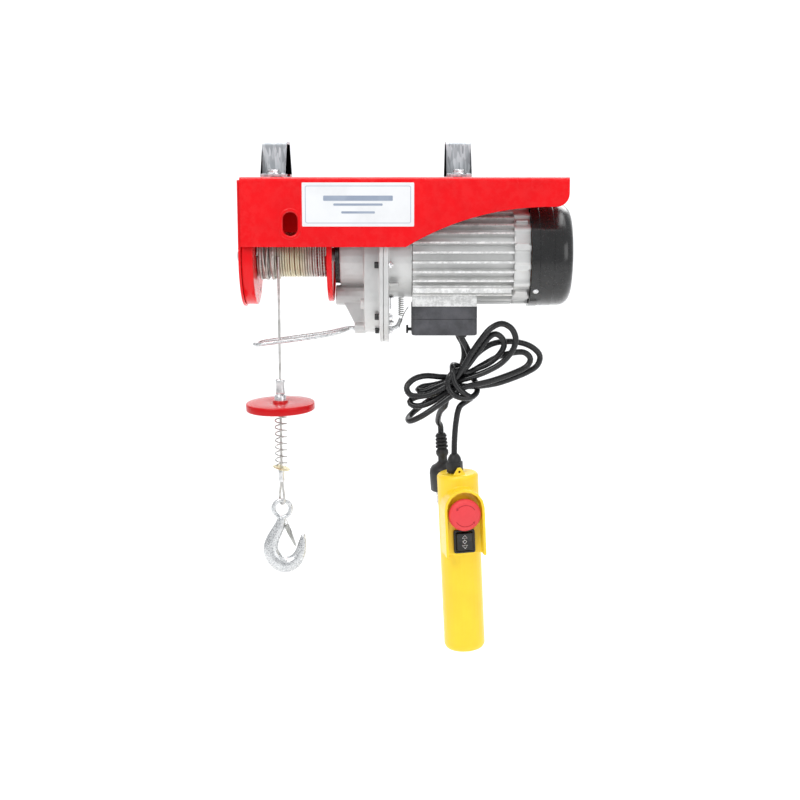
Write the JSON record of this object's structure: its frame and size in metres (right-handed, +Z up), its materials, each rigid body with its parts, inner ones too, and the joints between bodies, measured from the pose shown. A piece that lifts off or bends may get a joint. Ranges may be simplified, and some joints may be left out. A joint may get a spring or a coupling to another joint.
{
  "type": "wire rope puller",
  "caption": "Mini electric wire rope hoist: channel frame with beam straps, rope drum, gear case, finned motor, switch box, load hook and pendant control on a lead.",
  "frame": {"origin": "centre of the channel frame's top face between the two beam straps, which hang the hoist from its beam", "axes": "+X runs along the drum and motor axis from the drum towards the fan cover, +Z up towards the beam, and the hoist's front faces -Y"},
  "size_m": [0.4024, 0.1381, 0.6391],
  "materials": {
    "red_paint": "glossy red enamel",
    "galvanised": "bright zinc galvanised",
    "zinc": "bright zinc plate",
    "yellow_zinc": "yellow passivated zinc",
    "steel": "machined steel",
    "aluminium": "bright crimped aluminium",
    "bronze": "sintered bronze",
    "copper": "varnished copper windings",
    "rope": "galvanised stranded wire rope",
    "cast": "satin cast aluminium with a clear coat",
    "black_gloss": "glossy black",
    "black_plastic": "satin black moulding",
    "box_black": "fine-grained dark grey moulding",
    "lead": "smooth black cable sheath",
    "yellow": "satin golden yellow moulding",
    "red_plastic": "satin red moulding",
    "capacitor": "pale capacitor can"
  },
  "bodies": {
    "root": {"channel_frame": "red_paint", "drum_support_plate": "red_paint", "beam_strap_left": "galvanised", "beam_strap_right": "galvanised", "strap_bolt_left_front": "zinc", "strap_bolt_left_back": "zinc", "strap_bolt_right_front": "zinc", "strap_bolt_right_back": "zinc", "case_screw_upper": "steel", "case_screw_lower": "steel", "motor_bearing_front": "steel", "motor_bearing_rear": "steel", "lever_spring": "steel", "drum_bush": "bronze", "stator_core": "copper", "brake_coil": "copper", "rope_fall": "rope", "gear_case": "cast", "motor_flange": "cast", "motor_housing": "cast", "motor_end_shield": "cast", "fan_cover": "black_gloss", "bearing_cover": "black_plastic", "mains_plug": "black_plastic", "pendant_gland": "black_plastic", "rocker_bezel": "black_plastic", "switch_box_base": "box_black", "switch_box_cover": "box_black", "control_lead_upper": "lead", "mains_lead_upper": "lead", "cable_hank": "lead", "control_lead_lower": "lead", "mains_lead_lower": "lead", "pendant_front": "yellow", "pendant_back": "yellow", "run_capacitor": "capacitor"},
    "drum": {"drum_shaft": "steel", "rope_drum": "red_paint", "rope_winding": "rope", "output_gear": "steel"},
    "layshaft": {"layshaft": "steel", "layshaft_wheel": "steel"},
    "rotor": {"motor_shaft": "steel", "rotor_core": "steel", "brake_disc": "steel", "cooling_fan": "black_plastic"},
    "lever": {"stop_lever": "zinc"},
    "plunger": {"limit_plunger": "black_plastic"},
    "hook_line": {"rope_tail": "rope", "rope_stop_sleeve": "aluminium", "limit_spring": "steel", "spring_washer": "yellow_zinc", "rope_ferrule": "aluminium", "rope_eye": "rope"},
    "weight": {"limit_weight": "red_paint"},
    "hook": {"load_hook": "zinc"},
    "latch": {"hook_latch": "steel"},
    "stop_stem": {"stop_stem": "steel"},
    "stop_button": {"stop_button": "red_plastic"},
    "rocker": {"rocker": "black_gloss"}
  },
  "joints": [
    {"name": "motor_spin", "type": "hinge", "parent": "root", "child": "rotor", "pos_m": [0.1, 0, -0.093], "axis": [-1, 0, 0], "range_deg": [-15900, 4080]},
    {"name": "layshaft_spin", "type": "hinge", "parent": "root", "child": "layshaft", "pos_m": [0, 0, -0.138], "axis": [-1, 0, 0], "range_deg": [-830, 3200]},
    {"name": "drum_spin", "type": "hinge", "parent": "root", "child": "drum", "pos_m": [-0.09, 0, -0.093], "axis": [-1, 0, 0], "range_deg": [-495, 130]},
    {"name": "hook_travel", "type": "slide", "parent": "root", "child": "hook_line", "axis": [0, 0, 1], "range_m": [-0.252, 0.066], "deforming": ["rope_fall"]},
    {"name": "weight_slide", "type": "slide", "parent": "hook_line", "child": "weight", "axis": [0, 0, -1], "range_m": [0, 0.02], "stiffness_N_per_m": 400, "springref_m": -0.011, "deforming": ["limit_spring"]},
    {"name": "hook_swing", "type": "hinge", "parent": "hook_line", "child": "hook", "pos_m": [-0.106, -0.0291, -0.3982], "axis": [0, 1, 0], "range_deg": [-25, 25]},
    {"name": "latch_swing", "type": "hinge", "parent": "hook", "child": "latch", "pos_m": [-0.1002, -0.0291, -0.42665], "axis": [0, 1, 0], "range_deg": [0, 30], "stiffness_Nm_per_rad": 0.02, "springref_deg": -17.19},
    {"name": "lever_swing", "type": "hinge", "parent": "root", "child": "lever", "pos_m": [0, -0.012, -0.1815], "axis": [-1, 0, 0], "range_deg": [0, 18], "stiffness_Nm_per_rad": 0.3, "springref_deg": -5.73},
    {"name": "plunger_press", "type": "slide", "parent": "root", "child": "plunger", "axis": [1, 0, 0], "range_m": [0, 0.003], "stiffness_N_per_m": 150, "springref_m": -0.001},
    {"name": "stop_press", "type": "slide", "parent": "root", "child": "stop_stem", "axis": [-0.139, 0.9903, -0.0068], "range_m": [0, 0.004], "stiffness_N_per_m": 400, "springref_m": -0.002},
    {"name": "stop_twist", "type": "hinge", "parent": "stop_stem", "child": "stop_button", "pos_m": [0.1135, -0.01, -0.40735], "axis": [0.139, -0.9903, 0.0068], "range_deg": [0, 30], "stiffness_Nm_per_rad": 0.05, "springref_deg": -2.86},
    {"name": "rocker_tilt", "type": "hinge", "parent": "root", "child": "rocker", "pos_m": [0.11901, -0.03674, -0.44312], "axis": [0.9891, 0.1392, 0.0484], "range_deg": [-8, 8], "stiffness_Nm_per_rad": 0.1}
  ],
  "couplings": [
    {"joint": "layshaft_spin", "follows": "motor_spin", "ratio": -0.2},
    {"joint": "drum_spin", "follows": "motor_spin", "ratio": 0.030769},
    {"joint": "hook_travel", "follows": "motor_spin", "m_per_rad": 0.00089538}
  ]
}
